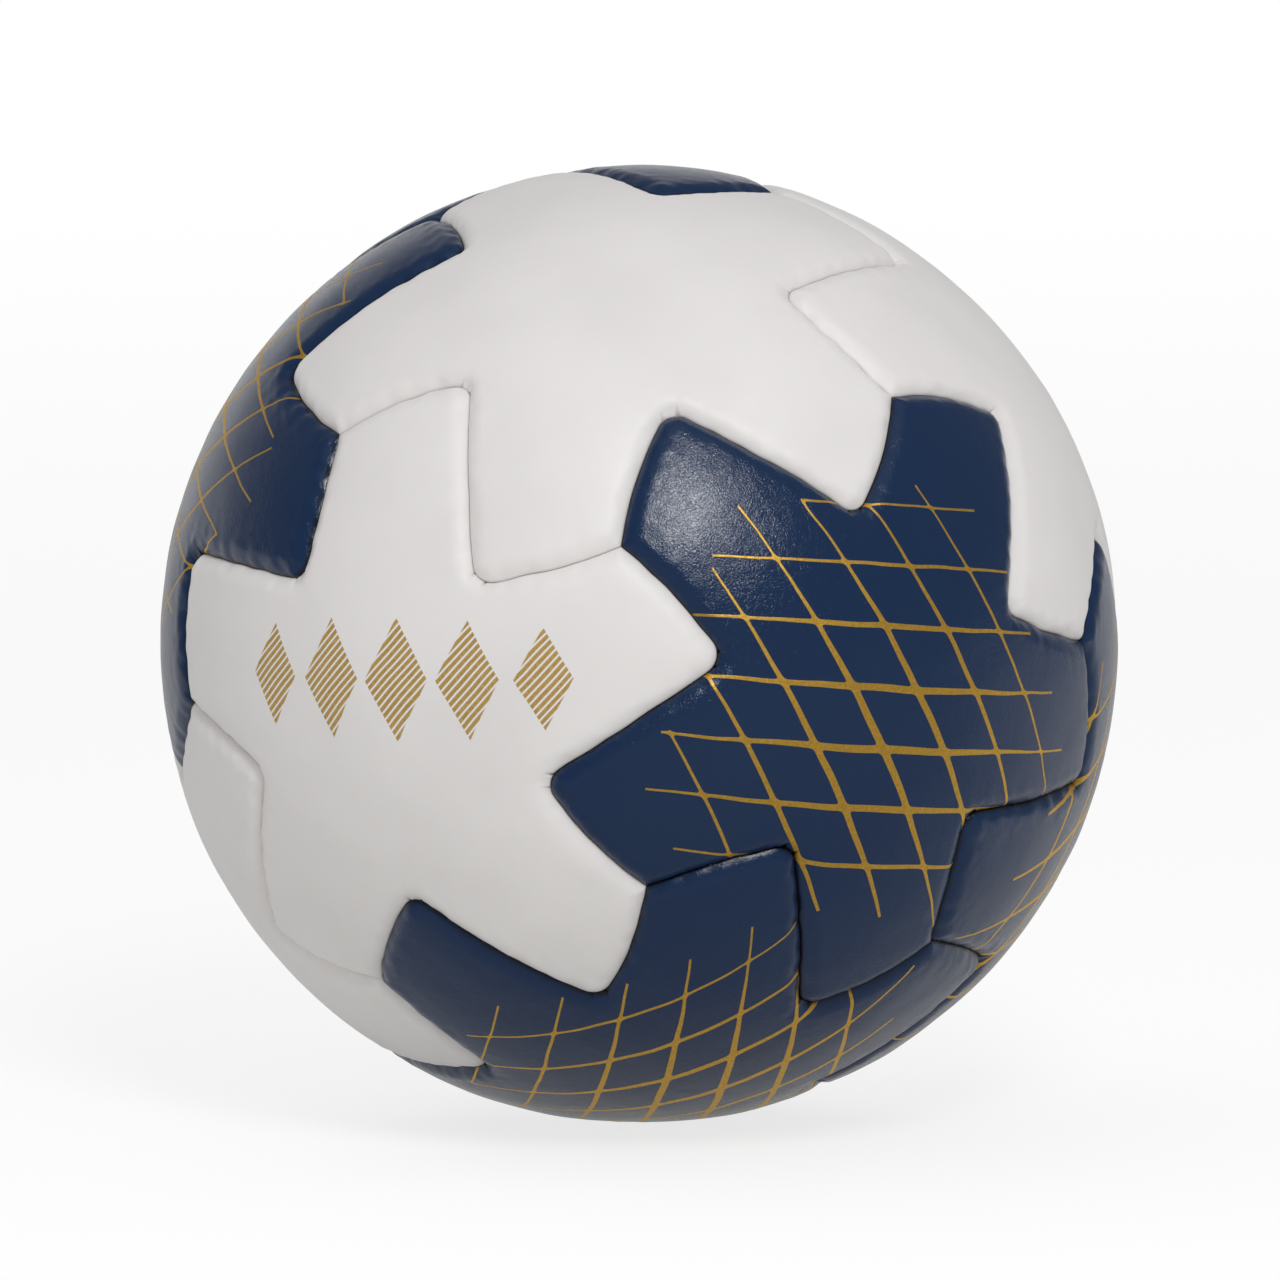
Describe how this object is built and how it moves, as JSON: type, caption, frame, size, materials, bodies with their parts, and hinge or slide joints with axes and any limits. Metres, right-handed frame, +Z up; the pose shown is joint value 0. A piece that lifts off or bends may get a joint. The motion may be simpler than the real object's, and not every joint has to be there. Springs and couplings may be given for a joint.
{
  "type": "handball",
  "caption": "Hand-sewn handball: interlocking five-armed white and navy panels over foam and lining, round an air bladder with a needle valve.",
  "frame": {"origin": "centre of the ball", "axes": "+Y out through the valve, +Z up; the ball rests on its lowest point, at -Z"},
  "size_m": [0.1878, 0.1878, 0.1878],
  "materials": {
    "white_skin": "satin coated synthetic leather, fine grain",
    "navy_skin": "satin coated synthetic leather, fine grain, gold net print",
    "foam": "matt closed-cell foam",
    "lining": "plain woven cotton",
    "thread": "waxed polyester thread",
    "bladder_rubber": "matt butyl rubber",
    "valve_rubber": "satin moulded rubber"
  },
  "bodies": {
    "root": {"cover_front": "navy_skin", "cover_front_1": "white_skin", "cover_front_2": "white_skin", "cover_front_3": "white_skin", "cover_front_4": "navy_skin", "cover_front_5": "navy_skin", "cover_back_1": "navy_skin", "cover_back_2": "navy_skin", "cover_back_3": "white_skin", "cover_back_4": "white_skin", "cover_back_5": "white_skin", "cover_valve": "navy_skin", "foam_front": "foam", "foam_front_1": "foam", "foam_front_2": "foam", "foam_front_3": "foam", "foam_front_4": "foam", "foam_front_5": "foam", "foam_back_1": "foam", "foam_back_2": "foam", "foam_back_3": "foam", "foam_back_4": "foam", "foam_back_5": "foam", "foam_valve": "foam", "lining_front": "lining", "lining_front_1": "lining", "lining_front_2": "lining", "lining_front_3": "lining", "lining_front_4": "lining", "lining_front_5": "lining", "lining_back_1": "lining", "lining_back_2": "lining", "lining_back_3": "lining", "lining_back_4": "lining", "lining_back_5": "lining", "lining_valve": "lining", "stitching": "thread", "bladder": "bladder_rubber", "valve_patch": "bladder_rubber", "valve_seat": "valve_rubber", "valve_core": "valve_rubber"}
  },
  "joints": []
}
